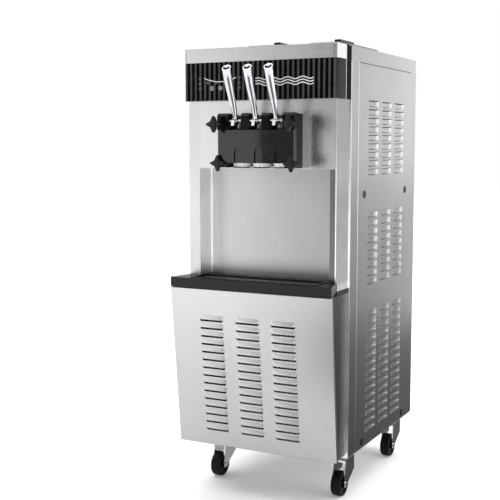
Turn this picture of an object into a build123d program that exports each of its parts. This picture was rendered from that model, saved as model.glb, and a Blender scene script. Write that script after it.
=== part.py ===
from build123d import *
import os
import math

os.makedirs("parts", exist_ok=True)

# Floor-standing soft serve machine: two mix hoppers, two freezing cylinders, three draw levers.
# Z = 0 is the floor, the front faces -Y, and X = 0 is the middle of the cabinet.

# Cabinet
cab_half_w = 255.0          # half of the cabinet width
cab_front = -191.7          # plane of the cabinet's front edge
cab_back = cab_front + 627.0
cab_bottom = 137.0
band_bottom = 1365.0        # lower edge of the top band
cab_top = 1411.0
sheet = 2.0                 # sheet metal thickness
band_t = 6.0                # thickness of the top band
front_post_w = 71.0         # side face of the front posts
rear_post_w = 57.0
post_flange = 15.0          # front face of the front posts

# Upper front module
mod_front = cab_front - 103.0
mod_half_w = 252.0
bay_left = -213.0           # dispensing bay, between the two columns
bay_right = 231.0
bay_back = cab_front - 29.0
bay_top = 1040.0
shelf_top = 700.0
panel_top = 1248.0

# Marquee band and top cap
marquee_front = cab_front - 121.0
marquee_half_w = 260.0
marquee_back = cab_front - 10.0
marquee_radius = 14.0
collar_front = cab_front - 52.0   # black collar between the cap and the cabinet
collar_half_w = 255.0
cap_top = 1408.0
rib_pitch = 16.7
rib_groove = 7.0
key_x = (-159.0, -129.0)
key_z = 1286.0
key_r = 7.5

# Shelf, drip tray and lower front panel
shelf_front = cab_front - 190.0
shelf_half_w = 274.0
trim_bottom = 670.0
tray_x = (-205.0, 215.0)
tray_y = (cab_front - 175.0, cab_front - 85.0)
door_half_w = 273.0
door_top_z = 667.4
door_bottom_z = 158.0
door_lean = 56.0            # how far the foot of the panel stands behind its head
door_fold = 21.0            # depth of the folded edges
door_top_fold = 12.0        # the head's fold stops short of the drip tray
skirt_x = 243.0             # outer face of the lower side walls

# Dispensing head
head_x = 29.0               # middle of the head
draw_pitch = 68.0           # between the three outlets
head_half_w = 127.5
head_bottom = 1058.0
head_foot = 1044.0          # underside of the head's ends
lug_gap = 21.0              # half of the slot that each lever stands in
head_deck = 1160.0
lug_top = 1206.0
cover_front = cab_front - 200.0
cover_back = cab_front - 181.0
rod_y = cab_front - 190.0   # lever pivot
rod_z = 1184.0
rod_r = 4.0
plunger_y = cab_front - 150.0
plunger_r = 15.0
arm_len = 41.6              # lever pivot to finger centre
arm_rest = 22.5             # the finger hangs this many degrees below level at rest
high_stud_dx = 122.5
low_stud_dx = 121.5
stud_r = 4.0
low_stud_z = 1057.0
high_stud_z = 1173.0
knob_reach = 27.5          # from the middle to each point

# Freezing cylinders and hoppers
cyl_dx = 62.0
cyl_z = 1110.0
cyl_bore = 44.0
cyl_r = 50.0
hopper_x = (head_x - 108.0, head_x + 108.0)
hopper_y = cab_front + 235.0
hopper_w = 92.0
hopper_l = 302.0
lid_rise = 20.0             # top of the lids above the cabinet
hopper_bottom = 1215.0

# Casters
caster_top = 131.0
pan_top = 133.0
fork_top = 117.7           # just under the swivel race
wheel_r = 40.0
wheel_w = 32.0
trail = 36.0
caster_x = 217.0
caster_y = (cab_front + 65.0, cab_front + 525.0)

# Louvres
louvre_pitch = 27.0
side_cols = (195.0, 320.0, 444.0)
side_rows = [1243.0 - louvre_pitch * i for i in range(9)]
side_rows += [890.0 - louvre_pitch * i for i in range(9)]
side_rows += [570.0 - louvre_pitch * i for i in range(15)]


def block(x, y, z, mode=Mode.ADD):
    """A box between two limits on each axis."""
    with Locations(((x[0] + x[1]) / 2, (y[0] + y[1]) / 2, (z[0] + z[1]) / 2)):
        Box(x[1] - x[0], y[1] - y[0], z[1] - z[0], mode=mode)


def rod_along_y(x, z, r, y, mode=Mode.ADD):
    """A cylinder along Y between two limits."""
    with Locations((x, (y[0] + y[1]) / 2, z)):
        Cylinder(r, y[1] - y[0], rotation=(90, 0, 0), mode=mode)


def louvres(plane, rows, length, slot=6.0, hood=13.0, proud=4.5):
    """Pressed louvres: a slot under each outward hood. The plane's x runs up the sheet, its y outwards."""
    with BuildSketch(plane) as slots:
        for row in rows:
            with Locations((row + 2.5, 0)):
                Rectangle(slot + 5, 3 * sheet)
    extrude(
        slots.sketch.moved(Location(plane.z_dir * 1.5)), amount=length - 3, mode=Mode.SUBTRACT
    )
    with BuildSketch(plane) as hoods:
        for row in rows:
            lip = row + slot / 2
            with BuildLine():
                Polyline(
                    (lip, proud - 1.2),
                    (lip, proud),
                    (lip + hood - 4, 1.6),
                    (lip + hood, 0),
                    (lip + hood, -0.3),
                    (lip + hood - 8, -0.3),
                    close=True,
                )
            make_face()
    extrude(hoods.sketch, amount=length)
    with BuildSketch(plane) as cheeks:
        for row in rows:
            lip = row + slot / 2
            with BuildLine():
                Polyline(
                    (lip, -0.3),
                    (lip, proud),
                    (lip + hood - 4, 1.6),
                    (lip + hood, 0),
                    (lip + hood, -0.3),
                    close=True,
                )
            make_face()
    extrude(cheeks.sketch, amount=1.5)
    extrude(cheeks.sketch.moved(Location(plane.z_dir * (length - 1.5))), amount=1.5)


def scoops(plane, rows, length, window=17.0, depth=8.0):
    """Louvres pressed inwards: a window with a sloping scoop behind it, open along its top."""
    low = -window / 2
    high = window / 2
    with BuildSketch(plane) as windows:
        for row in rows:
            with Locations((row, 0)):
                Rectangle(window, 3 * sheet)
    extrude(
        windows.sketch.moved(Location(plane.z_dir * 1.5)),
        amount=length - 3,
        mode=Mode.SUBTRACT,
    )
    with BuildSketch(plane) as plates:
        for row in rows:
            with BuildLine():
                Polyline(
                    (row + low - 3, -sheet + 0.2),
                    (row + low, -sheet + 0.2),
                    (row + high, -depth - 0.3),
                    (row + high, -depth - 1.5),
                    (row + low - 3, -sheet - 1.2),
                    close=True,
                )
            make_face()
    extrude(plates.sketch, amount=length)
    with BuildSketch(plane) as cheeks:
        for row in rows:
            with BuildLine():
                Polyline(
                    (row + low - 3, -sheet + 0.2),
                    (row + high, -sheet + 0.2),
                    (row + high, -depth - 1.5),
                    (row + low - 3, -sheet - 1.2),
                    close=True,
                )
            make_face()
    extrude(cheeks.sketch, amount=1.5)
    extrude(cheeks.sketch.moved(Location(plane.z_dir * (length - 1.5))), amount=1.5)


# ---------------------------------------------------------------- cabinet

with BuildPart() as base_chassis:
    # folded pan: its edges stand inside the panels
    block((-253, 253), (cab_front + sheet, cab_back - sheet), (caster_top, 165))
    block((-251, 251), (cab_front + 4, cab_back - 4), (pan_top, 170), mode=Mode.SUBTRACT)
    with Locations((0, cab_front + 250, pan_top - 1)):
        with GridLocations(60, 40, 5, 2):
            Cylinder(12, 6, mode=Mode.SUBTRACT)
base_chassis.part.label = "base_chassis"
export_step(base_chassis.part, "parts/base_chassis.step")

with BuildPart() as corner_posts:
    for side in (-1, 1):
        outer = side * cab_half_w
        with BuildSketch(Plane.XY.offset(cab_bottom - 1)):
            with BuildLine():
                Polyline(
                    (outer, cab_front),
                    (outer, cab_front + front_post_w),
                    (outer - side * sheet, cab_front + front_post_w),
                    (outer - side * sheet, cab_front + sheet),
                    (outer - side * post_flange, cab_front + sheet),
                    (outer - side * post_flange, cab_front),
                    close=True,
                )
            make_face()
            with BuildLine():
                Polyline(
                    (outer, cab_back),
                    (outer, cab_back - rear_post_w),
                    (outer - side * sheet, cab_back - rear_post_w),
                    (outer - side * sheet, cab_back - sheet),
                    (outer - side * 30, cab_back - sheet),
                    (outer - side * 30, cab_back),
                    close=True,
                )
            make_face()
        extrude(amount=band_bottom - cab_bottom + 1)
corner_posts.part.label = "corner_posts"
export_step(corner_posts.part, "parts/corner_posts.step")

with BuildPart() as top_frame:
    for side in (-1, 1):
        inner = side * (cab_half_w - band_t)
        outer = side * cab_half_w
        block(sorted((inner, outer)), (cab_front, cab_back), (band_bottom, cab_top))
    for y in ((cab_front, cab_front + band_t), (cab_back - band_t, cab_back)):
        block((-cab_half_w + band_t, cab_half_w - band_t), y, (band_bottom, cab_top))
    fillet(top_frame.edges().filter_by(Axis.Z).group_by(Axis.Y)[-1], radius=4)
    fillet(top_frame.faces().sort_by(Axis.Z)[-1].outer_wire().edges(), radius=2)
top_frame.part.label = "top_frame"
export_step(top_frame.part, "parts/top_frame.step")

with BuildPart() as top_deck:
    block(
        (-cab_half_w + band_t, cab_half_w - band_t),
        (cab_front + band_t, cab_back - band_t),
        (cab_top - 4, cab_top - 2),
    )
    for x in hopper_x:
        block(
            (x - hopper_w / 2, x + hopper_w / 2),
            (hopper_y - hopper_l / 2, hopper_y + hopper_l / 2),
            (cab_top - 6, cab_top),
            mode=Mode.SUBTRACT,
        )
top_deck.part.label = "top_deck"
export_step(top_deck.part, "parts/top_deck.step")

for name, side in (("left", -1), ("right", 1)):
    with BuildPart() as side_panel:
        block(
            sorted((side * (cab_half_w - sheet), side * cab_half_w)),
            (cab_front + front_post_w + 0.6, cab_back - rear_post_w - 0.6),
            (cab_bottom - 1, band_bottom - 0.6),
        )
        # the returns behind the edges meet the posts from the inside
        for y in (
            (cab_front + front_post_w - 10, cab_front + front_post_w + 10),
            (cab_back - rear_post_w - 10, cab_back - rear_post_w + 10),
        ):
            block(
                sorted((side * (cab_half_w - 2 * sheet), side * (cab_half_w - sheet))),
                y,
                (166, band_bottom - 5),
            )
        for col in side_cols:
            start = cab_front + col - side * 48
            scoops(
                Plane(
                    origin=(side * cab_half_w, start, 0),
                    x_dir=(0, 0, 1),
                    z_dir=(0, side, 0),
                ),
                side_rows,
                96.0,
            )
    side_panel.part.label = f"side_panel_{name}"
    export_step(side_panel.part, f"parts/side_panel_{name}.step")

with BuildPart() as rear_panel:
    block((-224.4, 224.4), (cab_back - sheet, cab_back), (cab_bottom - 1, band_bottom - 0.6))
    for side in (-1, 1):
        block(
            sorted((side * 214, side * 236)),
            (cab_back - 2 * sheet, cab_back - sheet),
            (166, band_bottom - 5),
        )
    for x in (-105, 105):
        louvres(
            Plane(origin=(x + 60, cab_back, 0), x_dir=(0, 0, 1), z_dir=(-1, 0, 0)),
            [1180.0 - louvre_pitch * i for i in range(8)]
            + [560.0 - louvre_pitch * i for i in range(12)],
            120.0,
        )
    rod_along_y(-170, 180, 10.2, (cab_back - 10, cab_back + 10), mode=Mode.SUBTRACT)
rear_panel.part.label = "rear_panel"
export_step(rear_panel.part, "parts/rear_panel.step")

with BuildPart() as panel_caps:
    for side in (-1, 1):
        for y, z in ((116, 957), (515, 957), (118, 157), (514, 157)):
            with Locations((side * (cab_half_w + 1.6), cab_front + y, z)):
                Cylinder(13.0, 3.2, rotation=(0, 90, 0))
    fillet(
        panel_caps.edges().filter_by(GeomType.CIRCLE).filter_by(
            lambda e: abs(abs(e.center().X) - cab_half_w - 3.2) < 0.1
        ),
        radius=1.5,
    )
panel_caps.part.label = "panel_caps"
export_step(panel_caps.part, "parts/panel_caps.step")

with BuildPart() as cable_gland:
    rod_along_y(-170, 180, 10.0, (cab_back - 12, cab_back + 2))
    with BuildSketch(Plane(origin=(-170, cab_back, 180), x_dir=(1, 0, 0), z_dir=(0, 1, 0))):
        RegularPolygon(14, 6)
    extrude(amount=6)
    rod_along_y(-170, 180, 10.5, (cab_back + 6, cab_back + 13))
    fillet(cable_gland.edges().group_by(Axis.Y)[-1], radius=2)
    rod_along_y(-170, 180, 5.0, (cab_back - 20, cab_back + 20), mode=Mode.SUBTRACT)
    # lock nut inside the rear panel
    with BuildSketch(
        Plane(origin=(-170, cab_back - sheet - 5, 180), x_dir=(1, 0, 0), z_dir=(0, 1, 0))
    ):
        RegularPolygon(14, 6)
        Circle(9.9, mode=Mode.SUBTRACT)
    extrude(amount=5)
cable_gland.part.label = "cable_gland"
export_step(cable_gland.part, "parts/cable_gland.step")

# ---------------------------------------------------------------- upper front


def marquee_plan(half_w, front, back, radius):
    """Plan of the marquee: a rectangle with rounded front corners."""
    with BuildSketch() as plan:
        with BuildLine():
            FilletPolyline(
                (-half_w, back),
                (-half_w, front),
                (half_w, front),
                (half_w, back),
                radius=radius,
            )
            Line((half_w, back), (-half_w, back))
        make_face()
    return plan.sketch


outer_plan = marquee_plan(marquee_half_w, marquee_front, marquee_back, marquee_radius)
inner_plan = marquee_plan(
    marquee_half_w - 3, marquee_front + 3, marquee_back, marquee_radius - 3
)

with BuildPart() as top_cap:
    extrude(outer_plan.moved(Location((0, 0, band_bottom))), amount=cap_top - band_bottom)
    fillet(
        top_cap.faces().sort_by(Axis.Z)[-1].outer_wire().edges().sort_by(Axis.Y)[:-1],
        radius=2.5,
    )
    extrude(
        inner_plan.moved(Location((0, 0, band_bottom))),
        amount=cap_top - 3 - band_bottom,
        mode=Mode.SUBTRACT,
    )
    block((-cab_half_w, cab_half_w), (marquee_back, cab_front), (cap_top - 12, cap_top - 3))
    # its sides stop at the collar
    for side in (-1, 1):
        block(
            sorted((side * (collar_half_w - 3.3), side * (marquee_half_w + 1))),
            (collar_front, cab_front + 1),
            (band_bottom - 1, cap_top + 1),
            mode=Mode.SUBTRACT,
        )
top_cap.part.label = "top_cap"
export_step(top_cap.part, "parts/top_cap.step")

with BuildPart() as marquee:
    extrude(outer_plan.moved(Location((0, 0, panel_top))), amount=band_bottom - panel_top)
    extrude(
        inner_plan.moved(Location((0, 0, panel_top))),
        amount=band_bottom - panel_top,
        mode=Mode.SUBTRACT,
    )
    # flanges at the foot and at the back ends
    with BuildSketch(Plane.XY.offset(panel_top)):
        add(inner_plan)
        with Locations((0, (mod_front + cab_front) / 2)):
            Rectangle(2 * mod_half_w - 8, cab_front - mod_front, mode=Mode.SUBTRACT)
    extrude(amount=2)
    # collar set in behind the band, up to the top of the cap
    for side in (-1, 1):
        block(
            sorted((side * collar_half_w, side * (marquee_half_w + 1))),
            (collar_front, marquee_back + 1),
            (panel_top - 1, cap_top + 1),
            mode=Mode.SUBTRACT,
        )
        block(
            sorted((side * (collar_half_w - 3), side * (marquee_half_w - 1))),
            (collar_front - 3, collar_front),
            (panel_top, band_bottom),
        )
        block(
            sorted((side * (collar_half_w - 3), side * collar_half_w)),
            (collar_front - 3, cab_front - 0.2),
            (panel_top, band_bottom),
        )
        block(
            sorted((side * (collar_half_w - 3), side * collar_half_w)),
            (collar_front + 0.3, cab_front - 0.2),
            (band_bottom - 1, cap_top),
        )
    with BuildSketch(Plane(origin=(0, marquee_front, 0), x_dir=(1, 0, 0), z_dir=(0, 1, 0))):
        with Locations((0, -(panel_top + band_bottom) / 2)):
            with GridLocations(rib_pitch, 1, 29, 1):
                Rectangle(rib_groove, band_bottom - panel_top - 6)
    extrude(amount=1, mode=Mode.SUBTRACT)
    # holes for the keys
    for x in key_x:
        rod_along_y(
            x, key_z, key_r + 0.3, (marquee_front - 1, marquee_front + 5), mode=Mode.SUBTRACT
        )
marquee.part.label = "marquee"
export_step(marquee.part, "parts/marquee.step")

with BuildPart() as display_module:
    block((-205, -47), (marquee_front + 3, marquee_front + 14), (1270, 1328))
    for x in key_x:
        rod_along_y(
            x, key_z, key_r + 0.3, (marquee_front, marquee_front + 9), mode=Mode.SUBTRACT
        )
display_module.part.label = "display_module"
export_step(display_module.part, "parts/display_module.step")

for name, x in zip(("left", "right"), key_x):
    with BuildPart() as key:
        rod_along_y(x, key_z, key_r, (marquee_front - 1, marquee_front + 7))
        fillet(key.edges().group_by(Axis.Y)[0], radius=0.8)
    key.part.label = f"key_{name}"
    export_step(key.part, f"parts/key_{name}.step")

with BuildPart() as front_columns:
    # left column, full height, with its side wall
    block((-mod_half_w, bay_left), (mod_front, mod_front + sheet), (shelf_top, panel_top))
    block(
        (-mod_half_w, -mod_half_w + sheet), (mod_front, cab_front), (shelf_top, panel_top)
    )
    # right column, narrow, and its side wall
    block((bay_right, mod_half_w), (mod_front, mod_front + sheet), (shelf_top, bay_top))
    block((mod_half_w - sheet, mod_half_w), (mod_front, cab_front), (shelf_top, panel_top))
    # the side walls reach down over the ends of the shelf
    for side in (-1, 1):
        block(
            sorted((side * mod_half_w, side * (mod_half_w - sheet))),
            (mod_front + 9, cab_front),
            (675, shelf_top),
        )
front_columns.part.label = "front_columns"
export_step(front_columns.part, "parts/front_columns.step")

with BuildPart() as dispense_panel:
    block((bay_left, mod_half_w - sheet), (mod_front, mod_front + sheet), (bay_top, panel_top))
    for x in (head_x - cyl_dx, head_x + cyl_dx):
        rod_along_y(
            x, cyl_z, cyl_bore + 2, (mod_front - 5, mod_front + 5), mode=Mode.SUBTRACT
        )
dispense_panel.part.label = "dispense_panel"
export_step(dispense_panel.part, "parts/dispense_panel.step")

with BuildPart() as bay_liner:
    # back, left wall, right wall and ceiling of the dispensing bay
    block((bay_left, bay_right), (bay_back, bay_back + sheet), (shelf_top, bay_top))
    block((bay_left - sheet, bay_left), (mod_front + sheet, bay_back), (shelf_top, bay_top))
    block((bay_right, bay_right + sheet), (mod_front + sheet, bay_back), (shelf_top, bay_top))
    block((bay_left, bay_right), (mod_front + sheet, bay_back), (bay_top, bay_top + sheet))
bay_liner.part.label = "bay_liner"
export_step(bay_liner.part, "parts/bay_liner.step")

# ---------------------------------------------------------------- shelf and lower front

with BuildPart() as drip_shelf:
    # the ends run in towards the module behind them
    with BuildSketch(Plane.XY.offset(trim_bottom)) as shelf_outline:
        with BuildLine():
            Polyline(
                (-shelf_half_w, shelf_front),
                (shelf_half_w, shelf_front),
                (mod_half_w, mod_front + 3),
                (-mod_half_w, mod_front + 3),
                close=True,
            )
        make_face()
    extrude(amount=shelf_top - trim_bottom)
    # open underneath, inside a skirt round the front and both ends
    with BuildSketch(Plane.XY.offset(trim_bottom)):
        with BuildLine():
            Polyline(
                (-shelf_half_w + 8, shelf_front + 10),
                (shelf_half_w - 8, shelf_front + 10),
                (mod_half_w - 5, mod_front + 4),
                (-mod_half_w + 5, mod_front + 4),
                close=True,
            )
        make_face()
    extrude(amount=688 - trim_bottom, mode=Mode.SUBTRACT)
    with BuildSketch(Plane.XY.offset(688)):
        with Locations((0, (mod_front + cab_front) / 2)):
            Rectangle(2 * (mod_half_w - sheet - 0.2), cab_front - mod_front)
    extrude(amount=12)
    # side bars from the module's corners back to the cabinet
    for side in (-1, 1):
        block(
            sorted((side * mod_half_w, side * (mod_half_w - 8))),
            (mod_front + 9, cab_front),
            (659, 674.6),
        )
        block(
            sorted((side * (mod_half_w - sheet - 0.2), side * (mod_half_w - 8))),
            (mod_front + 9, cab_front),
            (674, 690),
        )
    fillet(
        drip_shelf.edges().filter_by(Axis.Z).group_by(Axis.Y)[0],
        radius=3,
    )
    with BuildSketch(Plane.XY.offset(680)):
        with Locations(((tray_x[0] + tray_x[1]) / 2, (tray_y[0] + tray_y[1]) / 2)):
            RectangleRounded(tray_x[1] - tray_x[0], tray_y[1] - tray_y[0], 12)
    extrude(amount=30, mode=Mode.SUBTRACT)
drip_shelf.part.label = "drip_shelf"
export_step(drip_shelf.part, "parts/drip_shelf.step")

tray_mid = ((tray_x[0] + tray_x[1]) / 2, (tray_y[0] + tray_y[1]) / 2)
tray_l = tray_x[1] - tray_x[0]
tray_w = tray_y[1] - tray_y[0]

with BuildPart() as drip_tray:
    with BuildSketch(Plane.XY.offset(shelf_top + 0.1)):
        with Locations(tray_mid):
            RectangleRounded(tray_l + 12, tray_w + 12, 16)
    extrude(amount=2)
    with BuildSketch(Plane.XY.offset(655)):
        with Locations(tray_mid):
            RectangleRounded(tray_l - 2, tray_w - 2, 11)
    extrude(amount=shelf_top + 0.1 - 655)
    with BuildSketch(Plane.XY.offset(657)):
        with Locations(tray_mid):
            RectangleRounded(tray_l - 6, tray_w - 6, 9)
    extrude(amount=60, mode=Mode.SUBTRACT)
    # ledges that carry the grid
    for x in (tray_x[0] + 8, tray_x[1] - 8):
        block((x - 6, x + 6), (tray_mid[1] - 30, tray_mid[1] + 30), (657, 692))
drip_tray.part.label = "drip_tray"
export_step(drip_tray.part, "parts/drip_tray.step")

with BuildPart() as drip_grid:
    with BuildSketch(Plane.XY.offset(692.2)):
        with Locations(tray_mid):
            RectangleRounded(tray_l - 17, tray_w - 14, 8)
            with GridLocations(12, 1, 32, 1):
                SlotOverall(tray_w - 30, 6, rotation=90, mode=Mode.SUBTRACT)
    extrude(amount=3)
drip_grid.part.label = "drip_grid"
export_step(drip_grid.part, "parts/drip_grid.step")

door_len = math.hypot(door_lean, door_top_z - door_bottom_z)
door_up = Vector(0, -door_lean, door_top_z - door_bottom_z).normalized()
door_out = Vector(0, -door_up.Z, door_up.Y)
door_foot = Vector(0, shelf_front + door_lean, door_bottom_z)


def door_plane(x, out=0.0):
    """Plane square to X whose x runs up the leaning panel and whose y runs out of it."""
    return Plane(origin=door_foot + door_out * out + Vector(x, 0, 0), x_dir=door_up, z_dir=(1, 0, 0))


with BuildPart() as lower_front_panel:
    with BuildSketch(door_plane(-door_half_w)):
        with Locations((door_len / 2, -sheet / 2)):
            Rectangle(door_len, sheet)
        with Locations((1, -door_fold / 2)):
            Rectangle(sheet, door_fold)
        with Locations((door_len - 1, -door_top_fold / 2)):
            Rectangle(sheet, door_top_fold)
    extrude(amount=2 * door_half_w)
    for side in (-1, 1):
        low = -door_half_w if side < 0 else door_half_w - sheet
        with BuildSketch(door_plane(low)):
            with Locations((door_len / 2, -door_fold / 2)):
                Rectangle(door_len, door_fold)
        extrude(amount=sheet)
        # the return behind the folded edge lands on the lower side wall
        low = -door_half_w if side < 0 else skirt_x - sheet
        with BuildSketch(door_plane(low)):
            with Locations((door_len / 2, -door_fold + sheet / 2)):
                Rectangle(door_len, sheet)
        extrude(amount=door_half_w - skirt_x + sheet)
    for x in (-173, -48, 73):
        louvres(
            door_plane(x),
            [54.0 + 25.7 * i for i in range(15)],
            82.0,
        )
lower_front_panel.part.label = "lower_front_panel"
export_step(lower_front_panel.part, "parts/lower_front_panel.step")

with BuildPart() as lower_side_walls:
    back_foot = door_foot - door_out * door_fold
    back_head = back_foot + door_up * door_len
    wall_top = 659.0
    head_y = back_head.Y + (back_head.Z - wall_top) * door_lean / (door_top_z - door_bottom_z)
    for side in (-1, 1):
        low = -skirt_x if side < 0 else skirt_x - sheet
        with BuildSketch(Plane(origin=(low, 0, 0), x_dir=(0, 1, 0), z_dir=(1, 0, 0))):
            with BuildLine():
                Polyline(
                    (back_foot.Y, back_foot.Z),
                    (head_y, wall_top),
                    (cab_front, wall_top),
                    (cab_front, 140),
                    (back_foot.Y + 6, 150),
                    close=True,
                )
            make_face()
        extrude(amount=sheet)
    block((-skirt_x, skirt_x), (back_foot.Y + 6, cab_front), (150, 152))
lower_side_walls.part.label = "lower_side_walls"
export_step(lower_side_walls.part, "parts/lower_side_walls.step")

# ---------------------------------------------------------------- inside

with BuildPart() as hoppers:
    for x in hopper_x:
        with BuildSketch(Plane.XY.offset(cab_top - 2)):
            with Locations((x, hopper_y)):
                Rectangle(hopper_w + 24, hopper_l + 24)
        extrude(amount=2)
        block(
            (x - hopper_w / 2 + 1, x + hopper_w / 2 - 1),
            (hopper_y - hopper_l / 2 + 1, hopper_y + hopper_l / 2 - 1),
            (hopper_bottom, cab_top - 2),
        )
        outlet_x = -60 if x < 0 else 112
        with Locations((outlet_x, hopper_y - 90, (cyl_z + cyl_r + 0.3 + hopper_bottom) / 2)):
            Cylinder(13, hopper_bottom - cyl_z - cyl_r - 0.3)
        block(
            (x - hopper_w / 2 + 3, x + hopper_w / 2 - 3),
            (hopper_y - hopper_l / 2 + 3, hopper_y + hopper_l / 2 - 3),
            (hopper_bottom + 2, cab_top + 2),
            mode=Mode.SUBTRACT,
        )
        with Locations((outlet_x, hopper_y - 90, hopper_bottom)):
            Cylinder(10, 120, mode=Mode.SUBTRACT)
hoppers.part.label = "hoppers"
export_step(hoppers.part, "parts/hoppers.step")

cyl_front = mod_front + sheet
with BuildPart() as freezing_cylinders:
    for x in (head_x - cyl_dx, head_x + cyl_dx):
        rod_along_y(x, cyl_z, cyl_r, (cyl_front, cyl_front + 360))
        rod_along_y(x, cyl_z, 60, (cyl_front, cyl_front + 6))
        rod_along_y(x, cyl_z, cyl_bore, (cyl_front - 1, cyl_front + 352), mode=Mode.SUBTRACT)
        rod_along_y(x, cyl_z, 9.0, (cyl_front + 340, cyl_front + 370), mode=Mode.SUBTRACT)
freezing_cylinders.part.label = "freezing_cylinders"
export_step(freezing_cylinders.part, "parts/freezing_cylinders.step")

for name, x in (("left", head_x - cyl_dx), ("right", head_x + cyl_dx)):
    with BuildPart() as beater:
        rod_along_y(x, cyl_z, 8.95, (cyl_front + 4, cyl_front + 359))
        for angle in (0, 120, 240):
            with Locations(Location((x, cyl_front + 175, cyl_z), (0, angle, 0))):
                with Locations((36, 0, 0)):
                    Box(13, 330, 3)
                for y in (-150, -50, 50, 150):
                    with Locations((20, y, 0)):
                        Box(34, 8, 6)
    beater.part.label = f"beater_{name}"
    export_step(beater.part, f"parts/beater_{name}.step")

with BuildPart() as gear_motors:
    for x in (head_x - cyl_dx, head_x + cyl_dx):
        rod_along_y(x, cyl_z, 55, (cyl_front + 360, cyl_front + 410))
        rod_along_y(x, cyl_z, 45, (cyl_front + 410, cyl_front + 560))
        rod_along_y(x, cyl_z, 30, (cyl_front + 560, cyl_front + 575))
gear_motors.part.label = "gear_motors"
export_step(gear_motors.part, "parts/gear_motors.step")

with BuildPart() as compressor:
    with Locations((-110, cab_front + 400, 245)):
        Cylinder(75, 180)
    fillet(compressor.edges().group_by(Axis.Z)[-1], radius=40)
    fillet(compressor.edges().group_by(Axis.Z)[0], radius=12)
    block((-190, -30), (cab_front + 320, cab_front + 480), (146, 158))
    for x in (-178, -42):
        for y in (cab_front + 332, cab_front + 468):
            with Locations((x, y, pan_top + 6.5)):
                Cylinder(10, 13)
compressor.part.label = "compressor"
export_step(compressor.part, "parts/compressor.step")

with BuildPart() as condenser:
    block((-160, 160), (cab_front + 20, cab_front + 64), (pan_top, 520))
    with Locations((0, cab_front + 10, 328)):
        with GridLocations(12, 1, 24, 1):
            Box(8, 60, 350, mode=Mode.SUBTRACT)
condenser.part.label = "condenser"
export_step(condenser.part, "parts/condenser.step")

fan_z = 328.0
fan_y = cab_front + 88.0
with BuildPart() as fan_shroud:
    block((-160, 160), (cab_front + 64, cab_front + 68), (pan_top, 520))
    rod_along_y(0, fan_z, 135, (cab_front + 68, cab_front + 104))
    rod_along_y(0, fan_z, 131, (cab_front + 60, cab_front + 110), mode=Mode.SUBTRACT)
    # motor on a cross bar behind the blades
    block((-135, 135), (cab_front + 112, cab_front + 118), (fan_z - 12, fan_z + 12))
    for x in (-133, 133):
        block((x - 3, x + 3), (cab_front + 100, cab_front + 118), (fan_z - 12, fan_z + 12))
    rod_along_y(0, fan_z, 34, (cab_front + 112, cab_front + 172))
    rod_along_y(0, fan_z, 5, (cab_front + 74, cab_front + 114))
fan_shroud.part.label = "fan_shroud"
export_step(fan_shroud.part, "parts/fan_shroud.step")

with BuildPart() as fan_blade:
    rod_along_y(0, fan_z, 28, (cab_front + 76, cab_front + 104))
    for i in range(5):
        with Locations(Location((0, fan_y, fan_z), (0, 72 * i, 0))):
            with Locations(Location((72, 0, 0), (28, 0, 0))):
                Box(100, 3, 42)
    rod_along_y(0, fan_z, 5.06, (cab_front + 70, cab_front + 110), mode=Mode.SUBTRACT)
fan_blade.part.label = "fan_blade"
export_step(fan_blade.part, "parts/fan_blade.step")

with BuildPart() as electrical_box:
    block((60, 210), (cab_back - 112, cab_back - sheet), (660, 960))
    fillet(electrical_box.edges().filter_by(Axis.Y), radius=6)
    block((62, 208), (cab_back - 110, cab_back - 4), (662, 958), mode=Mode.SUBTRACT)
electrical_box.part.label = "electrical_box"
export_step(electrical_box.part, "parts/electrical_box.step")

pipe_routes = (
    (
        (-110, cab_front + 400, 335.4),
        (-110, cab_front + 400, 420),
        (-185, cab_front + 400, 420),
        (-185, cab_front + 42, 420),
        (-161, cab_front + 42, 420),
    ),
    (
        (161, cab_front + 42, 200),
        (200, cab_front + 42, 200),
        (200, cab_front + 200, 200),
        (200, cab_front + 200, 1110),
        (head_x + cyl_dx + cyl_r + 0.5, cab_front + 200, 1110),
    ),
    (
        (head_x - cyl_dx - cyl_r - 0.5, cab_front + 200, 1110),
        (-140, cab_front + 200, 1110),
        (-140, cab_front + 360, 1110),
        (-140, cab_front + 360, 336),
    ),
)
with BuildPart() as refrigerant_pipes:
    for route in pipe_routes:
        with BuildLine() as path:
            FilletPolyline(*route, radius=14)
        with BuildSketch(Plane(origin=path.line @ 0, z_dir=path.line % 0)):
            Circle(5)
        sweep()
refrigerant_pipes.part.label = "refrigerant_pipes"
export_step(refrigerant_pipes.part, "parts/refrigerant_pipes.step")

# ---------------------------------------------------------------- dispensing head

draw_x = [head_x + draw_pitch * i for i in (-1, 0, 1)]
stud_places = (
    ("top_left", head_x - high_stud_dx, high_stud_z, cab_front - 223.0),
    ("top_right", head_x + high_stud_dx, high_stud_z, cab_front - 223.0),
    ("bottom_left", head_x - low_stud_dx, low_stud_z, cab_front - 200.5),
    ("bottom_right", head_x + low_stud_dx, low_stud_z, cab_front - 200.5),
)

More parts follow.
